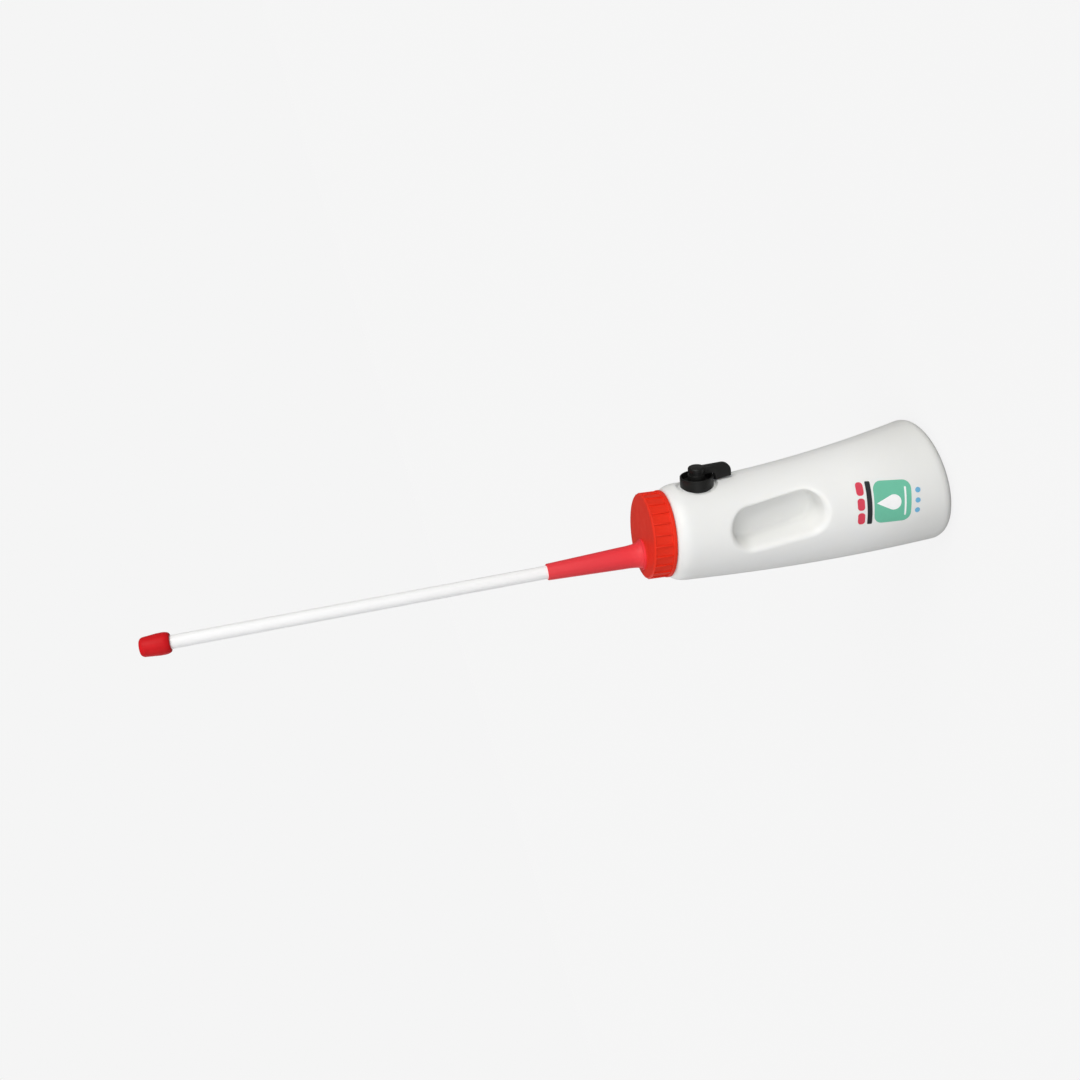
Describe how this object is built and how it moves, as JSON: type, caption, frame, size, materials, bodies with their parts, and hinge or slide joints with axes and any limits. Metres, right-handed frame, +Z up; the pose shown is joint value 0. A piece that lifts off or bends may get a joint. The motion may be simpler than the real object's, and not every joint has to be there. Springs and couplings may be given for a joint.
{
  "type": "livestock drencher",
  "caption": "Hand-held livestock drencher: curved white bottle with finger recesses, red screw cap and spout, rigid probe tube with soft tip, and a rotary air valve.",
  "frame": {"origin": "centre of the bottle's flat base, on the surface it stands on", "axes": "+Z up out of the base, +X toward the side that carries the air valve, +Y completes the right-handed frame"},
  "size_m": [0.1495, 0.1248, 0.7831],
  "materials": {
    "bottle_hdpe": "natural white polyethylene, blow-moulded, satin and slightly translucent",
    "cap_red": "red polypropylene, moulded, satin gloss",
    "spout_red": "red soft polyethylene, moulded, semi-gloss",
    "tube_white": "white rigid plastic tube, extruded, smooth",
    "tip_red": "red soft rubber, moulded, satin",
    "valve_black": "black nylon, moulded, satin",
    "seal_rubber": "black rubber, smooth",
    "natural_pe": "natural rigid polyethylene, smooth",
    "steel": "stainless steel"
  },
  "bodies": {
    "bottle": {"bottle": "bottle_hdpe", "valve_cup": "valve_black", "valve_gasket": "seal_rubber", "valve_washer": "natural_pe", "valve_nut": "valve_black", "valve_seal": "seal_rubber", "valve_spring": "steel", "spring_washer": "steel", "pivot_screw": "steel", "breather_tube": "natural_pe"},
    "seal": {"cap_seal": "seal_rubber"},
    "cap": {"screw_cap": "cap_red", "spout": "spout_red", "spout_seal": "seal_rubber", "spout_nut": "spout_red", "tube_ring": "seal_rubber", "drench_tube": "tube_white", "tube_tip": "tip_red"},
    "lever": {"valve_lever": "valve_black", "pivot_button": "valve_black"}
  },
  "joints": [
    {"name": "cap_lift", "type": "slide", "parent": "bottle", "child": "seal", "axis": [0.1908, 0, 0.9816], "range_m": [0, 0.0101]},
    {"name": "cap_turn", "type": "hinge", "parent": "seal", "child": "cap", "pos_m": [0.02603, 0, 0.27033], "axis": [0.1908, 0, 0.9816], "range_deg": [0, 720]},
    {"name": "valve_turn", "type": "hinge", "parent": "bottle", "child": "lever", "pos_m": [0.06978, 0, 0.23379], "axis": [0.991, 0, -0.134], "range_deg": [-45, 45]}
  ],
  "couplings": [
    {"joint": "cap_lift", "follows": "cap_turn", "m_per_rad": 0.00079577}
  ]
}
